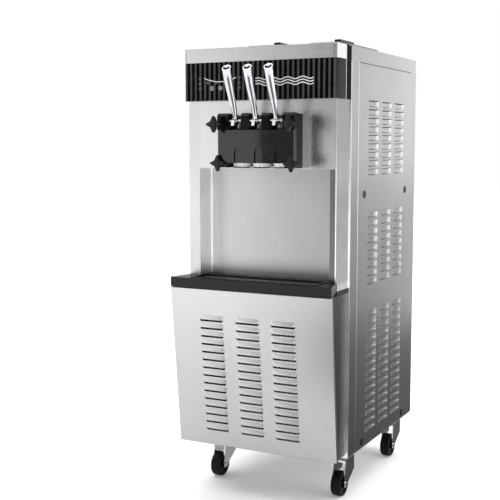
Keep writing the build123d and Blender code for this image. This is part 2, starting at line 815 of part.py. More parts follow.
with BuildPart() as head_body:
    block(
        (head_x - head_half_w, head_x + head_half_w),
        (cover_back, mod_front),
        (head_bottom, head_deck),
    )
    # the ends reach down past the outlets
    for side in (-1, 1):
        block(
            sorted((head_x + side * head_half_w, head_x + side * (draw_pitch + 28))),
            (cover_back, mod_front),
            (head_foot, head_bottom),
        )
    # four lugs that carry the pivot rod
    lug_limits = (
        (head_x - head_half_w, draw_x[0] - lug_gap),
        (draw_x[0] + lug_gap, draw_x[1] - lug_gap),
        (draw_x[1] + lug_gap, draw_x[2] - lug_gap),
        (draw_x[2] + lug_gap, head_x + head_half_w),
    )
    for low, high in lug_limits:
        with BuildSketch(Plane(origin=(low, 0, 0), x_dir=(0, 1, 0), z_dir=(1, 0, 0))):
            with BuildLine():
                Polyline(
                    (cover_front + 2, head_deck - 4),
                    (cover_front + 2, lug_top - 8),
                    (cover_front + 10, lug_top),
                    (mod_front, lug_top - 6),
                    (mod_front, head_deck - 4),
                    close=True,
                )
            make_face()
        extrude(amount=high - low)
    # bosses in front of the lugs for the upper studs
    for name, x, z, front in stud_places[:2]:
        rod_along_y(x, z, 9, (front + 0.5, cover_front + 6))
    for name, x, z, front in stud_places:
        rod_along_y(x, z, 4.1, (front - 1, mod_front + 1), mode=Mode.SUBTRACT)
    # plunger bores
    for x in draw_x:
        with Locations((x, plunger_y, (head_bottom + head_deck) / 2)):
            Cylinder(plunger_r + 0.06, head_deck - head_bottom + 20, mode=Mode.SUBTRACT)
    # ways from the freezing cylinders
    for x in (head_x - cyl_dx, head_x + cyl_dx):
        rod_along_y(x, cyl_z - 20, 9, (plunger_y + 12, mod_front + 2), mode=Mode.SUBTRACT)
    with Locations((head_x, rod_y, rod_z)):
        Cylinder(
            rod_r + 0.1, 2 * head_half_w - 20, rotation=(0, 90, 0), mode=Mode.SUBTRACT
        )
head_body.part.label = "head_body"
export_step(head_body.part, "parts/head_body.step")

with BuildPart() as head_cover:
    with BuildSketch(Plane.XY.offset(head_foot + 1)):
        with BuildLine():
            Polyline(
                (head_x - head_half_w, cover_back),
                (head_x - head_half_w, cover_front + 8),
            )
            ThreePointArc(
                (head_x - head_half_w, cover_front + 8),
                (head_x - head_half_w + 2.5, cover_front + 3.5),
                (head_x - head_half_w + 8, cover_front + 1.5),
            )
            ThreePointArc(
                (head_x - head_half_w + 8, cover_front + 1.5),
                (head_x, cover_front),
                (head_x + head_half_w - 8, cover_front + 1.5),
            )
            ThreePointArc(
                (head_x + head_half_w - 8, cover_front + 1.5),
                (head_x + head_half_w - 2.5, cover_front + 3.5),
                (head_x + head_half_w, cover_front + 8),
            )
            Polyline(
                (head_x + head_half_w, cover_front + 8),
                (head_x + head_half_w, cover_back),
                (head_x - head_half_w, cover_back),
            )
        make_face()
    extrude(amount=head_deck - 5 - head_foot)
    block(
        (head_x - draw_pitch - 30, head_x + draw_pitch + 30),
        (cover_front - 1, cover_back + 1),
        (head_foot, head_bottom),
        mode=Mode.SUBTRACT,
    )
    # step along the top of the face
    block(
        (head_x - head_half_w - 1, head_x + head_half_w + 1),
        (cover_front - 1, cover_front + 4),
        (1147, 1149.5),
        mode=Mode.SUBTRACT,
    )
    # arched recess over each outlet
    for x in draw_x:
        with BuildSketch(Plane(origin=(x + 12, cover_front - 1, 0), x_dir=(1, 0, 0), z_dir=(0, -1, 0))):
            with Locations((0, head_bottom + 14)):
                Rectangle(27, 30)
            with Locations((0, head_bottom + 31)):
                Circle(13.5)
        extrude(amount=-6, mode=Mode.SUBTRACT)
    for name, x, z, front in stud_places[2:]:
        rod_along_y(x, z, 4.1, (cover_front - 5, cover_back + 5), mode=Mode.SUBTRACT)
head_cover.part.label = "head_cover"
export_step(head_cover.part, "parts/head_cover.step")

with BuildPart() as nozzle_caps:
    for x in draw_x:
        with BuildSketch(Plane.XY.offset(head_foot + 2)):
            with Locations((x, plunger_y)):
                Circle(23)
                with PolarLocations(23, 12):
                    Circle(2.6)
        extrude(amount=head_bottom - head_foot - 2)
        with BuildSketch(Plane.XY.offset(1050)):
            with Locations((x, plunger_y)):
                Circle(plunger_r + 0.06)
        extrude(amount=20, mode=Mode.SUBTRACT)
        with BuildSketch(Plane.XY.offset(1040)):
            with Locations((x, plunger_y)):
                Circle(5.5)
                with PolarLocations(6.5, 6):
                    Circle(2.4)
        extrude(amount=20, mode=Mode.SUBTRACT)
nozzle_caps.part.label = "nozzle_caps"
export_step(nozzle_caps.part, "parts/nozzle_caps.step")

with BuildPart() as nozzle_rings:
    for x in draw_x:
        with BuildSketch(Plane.XY.offset(head_foot - 1)):
            with Locations((x, plunger_y)):
                Circle(26)
                Circle(14, mode=Mode.SUBTRACT)
        extrude(amount=3)
nozzle_rings.part.label = "nozzle_rings"
export_step(nozzle_rings.part, "parts/nozzle_rings.step")

with BuildPart() as pivot_rod:
    with Locations((head_x, rod_y, rod_z)):
        Cylinder(rod_r, 2 * head_half_w - 24, rotation=(0, 90, 0))
pivot_rod.part.label = "pivot_rod"
export_step(pivot_rod.part, "parts/pivot_rod.step")

with BuildPart() as studs:
    for name, x, z, front in stud_places:
        rod_along_y(x, z, stud_r, (front - 11, mod_front))
studs.part.label = "studs"
export_step(studs.part, "parts/studs.step")

for name, x, z, front in stud_places:
    with BuildPart() as knob:
        with BuildSketch(Plane(origin=(x, front, z), x_dir=(1, 0, 0), z_dir=(0, -1, 0))):
            with BuildLine():
                star = [
                    (
                        (knob_reach if i % 2 == 0 else 13) * math.cos(math.radians(45 * i)),
                        (knob_reach if i % 2 == 0 else 13) * math.sin(math.radians(45 * i)),
                    )
                    for i in range(8)
                ]
                Polyline(*star, close=True)
            make_face()
            fillet(vertices(), radius=2.5)
        extrude(amount=12)
        fillet(knob.edges().group_by(Axis.Y)[0], radius=1.5)
        rod_along_y(x, z, 9, (front - 15, front - 11))
        rod_along_y(x, z, stud_r + 0.06, (front - 12, front + 1), mode=Mode.SUBTRACT)
    knob.part.label = f"knob_{name}"
    export_step(knob.part, f"parts/knob_{name}.step")

# the handle's middle line, as (y, z) from the pivot, its direction and its half widths
handle_stations = (
    ((-3, 5), (-8, 26), 7.0, 6.5),
    ((-21, 58), (-9, 20), 10.6, 8.6),
    ((-40, 102), (-8, 20), 12.6, 10.0),
    ((-62, 172), (-5.5, 19), 14.2, 11.0),
)
handle_top = (-57, 153)
rest = math.radians(arm_rest)
finger_y = rod_y + arm_len * math.cos(rest)
finger_z = rod_z - arm_len * math.sin(rest)
for name, x in zip(("left", "centre", "right"), draw_x):
    with BuildPart() as lever:
        with Locations((x, rod_y, rod_z)):
            Cylinder(9.5, 14, rotation=(0, 90, 0))
        # stop tab in front of the pivot
        with BuildSketch(Plane(origin=(x - 5, 0, 0), x_dir=(0, 1, 0), z_dir=(1, 0, 0))):
            with BuildLine():
                Polyline(
                    (rod_y - 4, rod_z + 7),
                    (rod_y - 18, rod_z + 1),
                    (rod_y - 21, rod_z - 15),
                    (rod_y - 14, rod_z - 18),
                    (rod_y - 3, rod_z - 6),
                    close=True,
                )
            make_face()
            fillet(vertices(), radius=2)
        extrude(amount=10)
        # handle, leaning forwards and swelling towards its open top
        for here, ahead, half_x, half_y in handle_stations:
            with BuildSketch(
                Plane(
                    origin=(x, rod_y + here[0], rod_z + here[1]),
                    x_dir=(1, 0, 0),
                    z_dir=(0, ahead[0], ahead[1]),
                )
            ):
                Ellipse(half_x, half_y)
        loft()
        # hollow in the handle, and its top cut off aslant so that the hollow faces forwards
        with BuildSketch(
            Plane(
                origin=(x, rod_y + handle_top[0] - 7, rod_z + handle_top[1] + 22),
                x_dir=(1, 0, 0),
                z_dir=(0, -5.5, 19),
            )
        ):
            Ellipse(11.4, 8.4)
        extrude(amount=-52, mode=Mode.SUBTRACT)
        with BuildSketch(
            Plane(
                origin=(x, rod_y + handle_top[0], rod_z + handle_top[1]),
                x_dir=(1, 0, 0),
                z_dir=(0, -0.7, 0.71),
            )
        ):
            Rectangle(60, 90)
        extrude(amount=60, mode=Mode.SUBTRACT)
        # draw arm and its finger
        with BuildSketch(Plane(origin=(x - 2.5, 0, 0), x_dir=(0, 1, 0), z_dir=(1, 0, 0))):
            with BuildLine():
                Polyline(
                    (rod_y + 3, rod_z - 8),
                    (rod_y + 3, rod_z + 6),
                    (finger_y, finger_z + 2.5),
                    (finger_y, finger_z - 2.5),
                    close=True,
                )
            make_face()
            with Locations((finger_y, finger_z)):
                Circle(4)
        extrude(amount=5)
        with Locations((x, rod_y, rod_z)):
            Cylinder(rod_r + 0.06, 40, rotation=(0, 90, 0), mode=Mode.SUBTRACT)
    lever.part.label = f"lever_{name}"
    export_step(lever.part, f"parts/lever_{name}.step")

    with BuildPart() as plunger:
        with Locations((x, plunger_y, (1052 + 1188) / 2)):
            Cylinder(plunger_r, 1188 - 1052)
        fillet(plunger.edges().group_by(Axis.Z)[-1], radius=3)
        # window for the lever's finger, flared towards the front
        with BuildSketch(Plane(origin=(x - 3.4, 0, 0), x_dir=(0, 1, 0), z_dir=(1, 0, 0))):
            with BuildLine():
                Polyline(
                    (plunger_y + 9, finger_z - 5),
                    (plunger_y + 9, finger_z + 5),
                    (plunger_y - 2, finger_z + 5),
                    (plunger_y - 17, finger_z + 13.5),
                    (plunger_y - 17, finger_z - 11.5),
                    (plunger_y - 2, finger_z - 5),
                    close=True,
                )
            make_face()
        extrude(amount=6.8, mode=Mode.SUBTRACT)
    plunger.part.label = f"plunger_{name}"
    export_step(plunger.part, f"parts/plunger_{name}.step")

# ---------------------------------------------------------------- lids

for name, x in zip(("left", "right"), hopper_x):
    with BuildPart() as lid:
        block(
            (x - hopper_w / 2 - 14, x + hopper_w / 2 + 14),
            (hopper_y - hopper_l / 2 - 14, hopper_y + hopper_l / 2 + 14),
            (cab_top + 0.2, cab_top + lid_rise),
        )
        fillet(lid.edges().filter_by(Axis.Z), radius=14)
        fillet(lid.edges().group_by(Axis.Z)[-1], radius=6)
        block(
            (x - 11, x + 11),
            (hopper_y - 58, hopper_y + 58),
            (cab_top + lid_rise - 1, cab_top + 39),
        )
        fillet(lid.edges().group_by(Axis.Z)[-1], radius=4)
        block(
            (x - hopper_w / 2 - 11, x + hopper_w / 2 + 11),
            (hopper_y - hopper_l / 2 - 11, hopper_y + hopper_l / 2 + 11),
            (cab_top - 1, cab_top + lid_rise - 3),
            mode=Mode.SUBTRACT,
        )
    lid.part.label = f"lid_{name}"
    export_step(lid.part, f"parts/lid_{name}.step")

# ---------------------------------------------------------------- casters

corners = (
    ("front_left", -caster_x, caster_y[0]),
    ("front_right", caster_x, caster_y[0]),
    ("rear_left", -caster_x, caster_y[1]),
    ("rear_right", caster_x, caster_y[1]),
)

with BuildPart() as caster_plates:
    for name, x, y in corners:
        block((x - 28, x + 28), (y - 42, y + 42), (caster_top - 4, caster_top))
        with Locations((x, y, caster_top - 8.5)):
            Cylinder(24, 9)
        # king pin and its head, under the fork
        with Locations((x, y, caster_top - 18)):
            Cylinder(5, 18)
        with Locations((x, y, caster_top - 26)):
            Cylinder(9, 4)
caster_plates.part.label = "caster_plates"
export_step(caster_plates.part, "parts/caster_plates.step")

for name, x, y in corners:
    axle_y = y - trail
    with BuildPart() as fork:
        with BuildSketch(Plane(origin=(x - 22, 0, 0), x_dir=(0, 1, 0), z_dir=(1, 0, 0))):
            with BuildLine():
                Polyline(
                    (y + 36, fork_top),
                    (y - 38, fork_top),
                    (axle_y - 13, wheel_r + 4),
                    (axle_y - 11, wheel_r - 9),
                    (axle_y + 9, wheel_r - 11),
                    (axle_y + 17, wheel_r),
                    (y + 36, fork_top - 46),
                    close=True,
                )
            make_face()
            fillet(vertices(), radius=4)
        extrude(amount=44)
        block((x - 18.5, x + 18.5), (y - 90, y + 60), (0, fork_top - 9), mode=Mode.SUBTRACT)
        with Locations((x, y, fork_top)):
            Cylinder(5.06, 30, mode=Mode.SUBTRACT)
        with Locations((x, axle_y, wheel_r)):
            Cylinder(4, 37.4, rotation=(0, 90, 0))
        for side in (-1, 1):
            with Locations((x + side * 23.6, axle_y, wheel_r)):
                Cylinder(6.5, 3.6, rotation=(0, 90, 0))
    fork.part.label = f"fork_{name}"
    export_step(fork.part, f"parts/fork_{name}.step")

    with BuildPart() as wheel:
        with Locations((x, axle_y, wheel_r)):
            Cylinder(wheel_r, wheel_w, rotation=(0, 90, 0))
        fillet(wheel.edges().filter_by(GeomType.CIRCLE), radius=5)
        for side in (-1, 1):
            with Locations((x + side * (wheel_w / 2), axle_y, wheel_r)):
                Cylinder(29, 8, rotation=(0, 90, 0), mode=Mode.SUBTRACT)
            with Locations((x + side * (wheel_w / 2 - 1.5), axle_y, wheel_r)):
                Cylinder(13, 6, rotation=(0, 90, 0))
        with Locations((x, axle_y, wheel_r)):
            Cylinder(4.06, 60, rotation=(0, 90, 0), mode=Mode.SUBTRACT)
    wheel.part.label = f"wheel_{name}"
    export_step(wheel.part, f"parts/wheel_{name}.step")
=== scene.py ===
import bmesh
import bpy
import math
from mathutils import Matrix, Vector


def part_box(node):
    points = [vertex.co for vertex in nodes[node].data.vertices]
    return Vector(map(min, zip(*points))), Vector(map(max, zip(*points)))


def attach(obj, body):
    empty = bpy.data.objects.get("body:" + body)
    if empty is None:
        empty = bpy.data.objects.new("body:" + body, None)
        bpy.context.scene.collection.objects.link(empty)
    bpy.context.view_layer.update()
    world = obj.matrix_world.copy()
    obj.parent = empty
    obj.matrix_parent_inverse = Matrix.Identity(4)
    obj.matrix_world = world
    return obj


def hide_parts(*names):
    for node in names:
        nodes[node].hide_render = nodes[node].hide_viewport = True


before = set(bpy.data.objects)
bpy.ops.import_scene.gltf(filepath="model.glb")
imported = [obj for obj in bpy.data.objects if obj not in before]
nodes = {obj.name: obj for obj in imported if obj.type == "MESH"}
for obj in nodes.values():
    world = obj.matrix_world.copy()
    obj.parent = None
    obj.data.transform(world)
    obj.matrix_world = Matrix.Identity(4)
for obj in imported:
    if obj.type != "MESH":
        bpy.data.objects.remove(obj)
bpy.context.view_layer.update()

# ------------------------------------------------------------------ places on the CAD nodes
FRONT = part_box("corner_posts")[0].y          # plane of the cabinet's front edge
COLUMN_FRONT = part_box("front_columns")[0].y  # front of the upper module
CAP_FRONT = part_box("top_cap")[0].y
CAP_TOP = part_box("top_cap")[1].z
MARQUEE_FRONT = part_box("marquee")[0].y
COLLAR_FRONT = CAP_FRONT + 0.069             # where the marquee's black collar begins
PAINTED_REFLECTION_FRONT = FRONT - 0.137                  # behind this the head body is painted as steel: a painted reflection
BAY_LEFT, BAY_RIGHT, BAY_TOP = -0.2135, 0.2312, 1.0395
CORNER_LEFT, CORNER_RIGHT = 0.2484, 0.2515   # the right column's front corner, where a highlight is painted
STRIP_BACK = FRONT - 0.1018                  # the strip beside the bay lies in front of this

# ------------------------------------------------------------------ camera
cam_data = bpy.data.cameras.new("camera")
cam_data.lens = 70.92
cam_data.sensor_width = 36.0
cam_data.clip_end = 60.0
camera = bpy.data.objects.new("camera", cam_data)
camera.location = (1.3570, FRONT - 2.8107, 1.1101)
camera.rotation_euler = (math.radians(90 - 6.053), 0.0, math.radians(27.22))
bpy.context.collection.objects.link(camera)
bpy.context.scene.camera = camera


# ------------------------------------------------------------------ node helpers
class Mat:
    """A material with one Principled shader and short calls for its texture nodes."""

    def __init__(self, name, color=(0.5, 0.5, 0.5), metallic=0.0, rough=0.5, shine=0.5):
        self.mat = bpy.data.materials.new(name)
        self.mat.use_nodes = True
        self.tree = self.mat.node_tree
        self.inputs = self.tree.nodes["Principled BSDF"].inputs
        self.inputs["Base Color"].default_value = (*color, 1.0)
        self.inputs["Metallic"].default_value = metallic
        self.inputs["Roughness"].default_value = rough
        self.inputs["Specular IOR Level"].default_value = shine
        self._coord = None
        self._axes = None

    def node(self, kind, **values):
        n = self.tree.nodes.new(kind)
        for key, value in values.items():
            setattr(n, key, value)
        return n

    def feed(self, socket, value):
        """Gives a socket a number, a colour or the output of another node."""
        if isinstance(value, (int, float)):
            socket.default_value = value
        elif isinstance(value, tuple):
            socket.default_value = (*value, 1.0)
        else:
            self.tree.links.new(value, socket)

    def coord(self):
        if self._coord is None:
            self._coord = self.node("ShaderNodeTexCoord").outputs["Object"]
        return self._coord

    def axis(self, name):
        """The place along X, Y or Z, in metres."""
        if self._axes is None:
            separate = self.node("ShaderNodeSeparateXYZ")
            self.feed(separate.inputs[0], self.coord())
            self._axes = separate.outputs
        return self._axes["XYZ".index(name)]

    def noise(self, size, detail=2.0, rough=0.5, stretch=(1, 1, 1)):
        mapping = self.node("ShaderNodeMapping")
        mapping.inputs["Scale"].default_value = stretch
        self.feed(mapping.inputs["Vector"], self.coord())
        tex = self.node("ShaderNodeTexNoise")
        for socket, value in (("Scale", size), ("Detail", detail), ("Roughness", rough)):
            tex.inputs[socket].default_value = value
        self.feed(tex.inputs["Vector"], mapping.outputs["Vector"])
        return tex.outputs["Fac"]

    def ramp(self, value, stops):
        """stops is [(position, grey or colour), ...]."""
        ramp = self.node("ShaderNodeValToRGB")
        elements = ramp.color_ramp.elements
        while len(elements) < len(stops):
            elements.new(0.5)
        for element, (position, tone) in zip(elements, stops):
            element.position = position
            element.color = (*tone, 1) if isinstance(tone, tuple) else (tone, tone, tone, 1)
        self.feed(ramp.inputs["Fac"], value)
        return ramp.outputs["Color"]

    def span(self, value, low, high):
        """0 at low, rising to 1 at high."""
        span = self.node("ShaderNodeMapRange")
        span.inputs["From Min"].default_value = low
        span.inputs["From Max"].default_value = high
        self.feed(span.inputs["Value"], value)
        return span.outputs["Result"]

    def mix(self, a, b, fac, blend="MIX"):
        mix = self.node("ShaderNodeMix", data_type="RGBA", blend_type=blend)
        for index, value in ((0, fac), (6, a), (7, b)):
            self.feed(mix.inputs[index], value)
        return mix.outputs[2]

    def math(self, operation, a, b=0.0):
        node = self.node("ShaderNodeMath", operation=operation)
        self.feed(node.inputs[0], a)
        self.feed(node.inputs[1], b)
        return node.outputs[0]

    def above(self, a, b):
        return self.math("GREATER_THAN", a, b)

    def below(self, a, b):
        return self.math("LESS_THAN", a, b)

    def inverse(self, a):
        return self.math("SUBTRACT", 1.0, a)

    def times(self, a, b):
        return self.math("MULTIPLY", a, b)

    def bump(self, height, strength, distance=0.0003):
        bump = self.node("ShaderNodeBump")
        bump.inputs["Strength"].default_value = strength
        bump.inputs["Distance"].default_value = distance
        self.feed(bump.inputs["Height"], height)
        self.feed(self.inputs["Normal"], bump.outputs["Normal"])

    def color(self, value):
        self.feed(self.inputs["Base Color"], value)

    def roughness(self, value):
        self.feed(self.inputs["Roughness"], value)


def grey(tone):
    return (tone, tone, tone)


# ------------------------------------------------------------------ steel
STROKES = {"X": (5, 700, 700), "Y": (700, 5, 700), "Z": (700, 700, 5)}


def brushed(name, light, dark, rough, grain="Z", bump=0.016, fades=(), shade=None, painted_highlight=None):
    """Brushed sheet steel, with its strokes along the grain axis. Each fade is
    (axis, from, to, stops), a painted shade that changes the tone along that axis. shade is a
    function that paints light and shade into the tone by place, and the highlight band is (axis,
    from, to), a painted highlight mixed to near white."""
    m = Mat(name, metallic=1.0)
    strokes = m.noise(1.0, 3.0, 0.6, STROKES[grain])
    cloudy = m.noise(3.0, 3.0, 0.55)
    smudge = m.noise(14.0, 4.0, 0.6)
    tone = m.ramp(strokes, [(0.25, dark), (0.75, light)])
    tone = m.mix(tone, m.ramp(cloudy, [(0.3, 0.90), (0.7, 1.0)]), 1.0, "MULTIPLY")
    # painted shade: each fade darkens the tone along its axis
    for axis, low, high, stops in fades:
        fade = m.ramp(m.span(m.axis(axis), low, high), stops)
        tone = m.mix(tone, fade, 1.0, "MULTIPLY")
    if shade:
        tone = shade(m, tone)
    # painted highlight: a band mixed to near white, patchy with the smudge noise
    if painted_highlight:
        axis, low, high = painted_highlight
        edge = m.times(m.above(m.axis(axis), low), m.below(m.axis(axis), high))
        patchy = m.ramp(smudge, [(0.3, 0.7), (0.6, 1.0)])
        tone = m.mix(tone, grey(0.97), m.times(edge, patchy))
    m.color(tone)
    spread = m.math("ADD", m.times(strokes, 0.6), m.times(smudge, 0.4))
    m.roughness(m.ramp(spread, [(0.3, rough[0]), (0.7, rough[1])]))
    m.bump(strokes, bump, 0.0004)
    return m.mat


def column_painted_light(m, tone):
    """Painted light on the columns: the fronts and the outer sides take painted shade that changes
    with height, the right front corner a painted highlight, and the strip beside the bay a painted
    shade."""
    x, y, z = (m.axis(name) for name in "XYZ")
    # painted shade by height, one ramp for the fronts and one for the outer sides
    height = m.span(z, 0.70, 1.10)
    on_front = m.ramp(height, [(0.0, 0.56), (1.0, 0.66)])
    on_side = m.ramp(height, [(0.0, 1.0), (0.5, 0.84), (1.0, 0.42)])
    side = m.above(x, CORNER_RIGHT)
    tone = m.mix(tone, m.mix(on_front, on_side, side), 1.0, "MULTIPLY")
    # painted highlight on the right front corner, mixed to near white
    corner = m.times(m.above(x, CORNER_LEFT), m.inverse(side))
    tone = m.mix(tone, grey(0.95), m.times(corner, m.below(y, COLUMN_FRONT + 0.002)))
    # painted shade on the strip beside the bay
    strip = m.times(m.above(x, BAY_RIGHT), m.below(x, CORNER_LEFT))
    strip = m.times(strip, m.below(z, BAY_TOP))
    return m.mix(tone, grey(0.34), m.times(strip, m.below(y, STRIP_BACK)), "MULTIPLY")


def cap_painted_shade(m, tone):
    """Painted shade: the upper face is painted darker, as it takes most of the light."""
    return m.mix(tone, grey(0.42), m.above(m.axis("Z"), CAP_TOP - 0.0007), "MULTIPLY")


# painted shade on the side panels and posts: darker towards the foot and towards the front
SIDE_PAINTED_SHADE = (
    ("Z", 0.13, 1.41, [(0.0, 0.62), (0.4, 0.80), (0.75, 1.0), (1.0, 1.0)]),
    ("Y", FRONT, FRONT + 0.60, [(0.0, 0.74), (1.0, 1.0)]),
)
steel_front = brushed("steel_front", 0.52, 0.49, (0.23, 0.29), bump=0.012)
# the columns take painted light and shade by place, and a band 0.672 to 0.696 m high carries a
# painted highlight
steel_column = brushed(
    "steel_column", 0.76, 0.70, (0.20, 0.30), shade=column_painted_light, painted_highlight=("Z", 0.672, 0.696),
)
# painted light and shade: the bay's left wall keeps full tone and the back wall is painted darker
# towards the right
steel_bay = brushed(
    "steel_bay", 0.90, 0.84, (0.28, 0.36),
    fades=[("X", BAY_LEFT, 0.23, [(0.0, 1.0), (0.006, 1.0), (0.01, 0.52), (1.0, 0.40)])],
)
# painted shade: the door is darker towards its foot
steel_door = brushed(
    "steel_door", 0.56, 0.51, (0.28, 0.38), bump=0.03,
    fades=[("Z", 0.15, 0.67, [(0.0, 0.80), (0.5, 0.92), (1.0, 1.0)])],
)
steel_side = brushed("steel_side", 0.62, 0.54, (0.30, 0.40), bump=0.04, fades=SIDE_PAINTED_SHADE)
# the posts share the side panels' painted shade, and their front edge carries a painted highlight
steel_post = brushed(
    "steel_post", 0.60, 0.52, (0.30, 0.40), bump=0.04, fades=SIDE_PAINTED_SHADE,
    painted_highlight=("Y", FRONT - 0.001, FRONT + 0.0045),
)
# painted shade: the lower side walls are this steel painted dark
steel_wall_painted_shade = brushed("steel_wall_painted_shade", 0.13, 0.10, (0.35, 0.45), bump=0.04)
# painted shade: the cap's front face is painted darker, and its upper face too
steel_cap = brushed(
    "steel_cap", 0.86, 0.80, (0.25, 0.33), "X", bump=0.012, shade=cap_painted_shade,
    fades=[("Y", CAP_FRONT + 0.004, CAP_FRONT + 0.014, [(0.0, 0.58), (1.0, 1.0)])],
)
# painted shade: the deck is this steel painted darker, against the light from above
steel_deck_painted_shade = brushed("steel_deck_painted_shade", 0.36, 0.31, (0.28, 0.38), "Y")
zinc = brushed("zinc", 0.60, 0.45, (0.38, 0.55), "X", bump=0.05)


# ------------------------------------------------------------------ plastic, chrome and the rest
def plastic(name, color, rough, bump=0.02, shine=0.5):
    """Moulded plastic with a fine texture, cloudy gloss and slightly uneven colour."""
    m = Mat(name, color=color, rough=rough[0], shine=shine)
    cloud = m.noise(25.0, 4.0, 0.6)
    low = tuple(c * 0.75 for c in color)
    high = tuple(min(1.0, c * 1.25) for c in color)
    m.color(m.ramp(cloud, [(0.3, low), (0.7, high)]))
    m.roughness(m.ramp(cloud, [(0.3, rough[0]), (0.7, rough[1])]))
    m.bump(m.noise(900.0), bump)
    return m.mat


black_gloss = plastic("black_gloss", (0.006, 0.006, 0.0065), (0.05, 0.10), bump=0.01)
black_satin = plastic("black_satin", (0.007, 0.007, 0.0075), (0.30, 0.44), bump=0.06, shine=0.25)
white_gloss = plastic("white_gloss", (0.80, 0.80, 0.78), (0.22, 0.34))
key_grey = plastic("key_grey", (0.16, 0.16, 0.18), (0.22, 0.34))
print_white = plastic("print_white", (0.72, 0.72, 0.72), (0.35, 0.5))
print_dim = plastic("print_dim", (0.10, 0.13, 0.12), (0.35, 0.5))

# marquee: black ribs with grey in the grooves between them, a painted sheen of grey on the band at
# the sides, and a light lip before the black collar
RIB_PITCH = 0.0167
RIB_GROOVE = 0.0070
LIP = 0.0045
m = Mat("marquee_black", color=(0.006, 0.006, 0.007), rough=0.16, shine=0.008)
wave = m.math("FRACT", m.math("ADD", m.math("DIVIDE", m.axis("X"), RIB_PITCH), 100.5))
off_middle = m.math("ABSOLUTE", m.math("SUBTRACT", wave, 0.5))
in_groove = m.below(off_middle, RIB_GROOVE / RIB_PITCH / 2)
on_front = m.below(m.axis("Y"), MARQUEE_FRONT + 0.0016)
on_collar = m.above(m.axis("Y"), COLLAR_FRONT)
on_lip = m.times(m.above(m.axis("Y"), COLLAR_FRONT - LIP), m.inverse(on_collar))
on_band = m.inverse(m.math("MAXIMUM", on_front, on_collar))
cloud = m.noise(30.0, 4.0, 0.6)
rib = m.ramp(cloud, [(0.3, 0.0015), (0.7, 0.004)])
groove = m.ramp(cloud, [(0.3, 0.055), (0.7, 0.085)])
# painted sheen: the side band of the same black plastic is coloured grey
band = m.ramp(cloud, [(0.3, 0.028), (0.7, 0.040)])
lip = m.ramp(cloud, [(0.3, 0.35), (0.7, 0.50)])
tone = m.mix(rib, groove, m.times(in_groove, on_front))
m.color(m.mix(m.mix(tone, band, on_band), lip, on_lip))
m.roughness(m.ramp(cloud, [(0.3, 0.12), (0.7, 0.22)]))
m.bump(m.noise(800.0), 0.03)
marquee_black = m.mat

# head body: moulded black, its rear painted grey steel as a painted reflection of the head in the
# panel
m = Mat("head_black", color=(0.004, 0.004, 0.0045), rough=0.10, shine=0.08)
on_painted_reflection = m.above(m.axis("Y"), PAINTED_REFLECTION_FRONT)
cloud = m.noise(25.0, 4.0, 0.6)
strokes = m.noise(1.0, 3.0, 0.6, STROKES["X"])
black = m.ramp(cloud, [(0.3, 0.003), (0.7, 0.005)])
# painted reflection: the rear of the head body is coloured as brushed steel
steel = m.ramp(strokes, [(0.25, 0.30), (0.75, 0.36)])
m.color(m.mix(black, steel, on_painted_reflection))
m.feed(m.inputs["Metallic"], on_painted_reflection)
black_rough = m.ramp(cloud, [(0.3, 0.07), (0.7, 0.13)])
reflection_rough = m.ramp(strokes, [(0.3, 0.26), (0.7, 0.36)])
m.roughness(m.mix(black_rough, reflection_rough, on_painted_reflection))
m.bump(m.noise(900.0), 0.02)
head_black = m.mat

m = Mat("chrome", color=(0.80, 0.80, 0.82), metallic=1.0, rough=0.08)
fog = m.noise(40.0, 4.0, 0.6)
m.color(m.ramp(fog, [(0.3, (0.50, 0.50, 0.52)), (0.7, (0.62, 0.62, 0.64))]))
m.roughness(m.ramp(fog, [(0.35, 0.05), (0.7, 0.14)]))
m.bump(m.noise(300.0), 0.01)
chrome = m.mat

m = Mat("rubber_black", color=(0.01, 0.01, 0.011), rough=0.6, shine=0.12)
dust = m.noise(60.0, 5.0, 0.65)
m.color(m.ramp(dust, [(0.35, (0.003, 0.003, 0.0035)), (0.75, (0.008, 0.008, 0.009))]))
m.roughness(m.ramp(dust, [(0.3, 0.42), (0.7, 0.66)]))
m.bump(m.noise(700.0, 3.0), 0.12, 0.0004)
rubber = m.mat

m = Mat("copper", color=(0.72, 0.42, 0.28), metallic=1.0, rough=0.3)
tarnish = m.noise(30.0, 4.0, 0.6)
m.color(m.ramp(tarnish, [(0.3, (0.45, 0.24, 0.15)), (0.7, (0.78, 0.46, 0.30))]))
m.roughness(m.ramp(tarnish, [(0.3, 0.28), (0.7, 0.5)]))
copper = m.mat

# which CAD nodes have which finish, by the start of their names
FINISHES = (
    (steel_post, ("corner_posts",)),
    (steel_side, ("side_panel_", "top_frame", "rear_panel")),
    (steel_deck_painted_shade, ("top_deck",)),
    (steel_cap, ("top_cap", "hoppers", "drip_grid")),
    (steel_column, ("front_columns",)),
    (steel_front, ("dispense_panel",)),
    (steel_bay, ("bay_liner",)),
    (steel_door, ("lower_front_panel",)),
    (steel_wall_painted_shade, ("lower_side_walls",)),
    (zinc, ("base_chassis", "freezing_cylinders", "electrical_box", "condenser")),
    (marquee_black, ("marquee",)),
    (black_gloss, ("display_module", "head_cover", "nozzle_rings")),
    (head_black, ("head_body",)),
    (black_satin, ("panel_caps", "cable_gland", "drip_shelf", "drip_tray", "gear_motors",
                   "compressor", "fan_shroud", "fan_blade", "knob_", "lid_")),
    (white_gloss, ("nozzle_caps", "plunger_", "beater_")),
    (chrome, ("pivot_rod", "studs", "caster_plates", "lever_", "fork_")),
    (key_grey, ("key_",)),
    (rubber, ("wheel_",)),
    (copper, ("refrigerant_pipes",)),
)
for name, obj in nodes.items():
    finish = next(mat for mat, starts in FINISHES if name.startswith(starts))
    if not obj.data.materials:
        obj.data.materials.append(finish)
    for material_slot in obj.material_slots:
        material_slot.material = finish

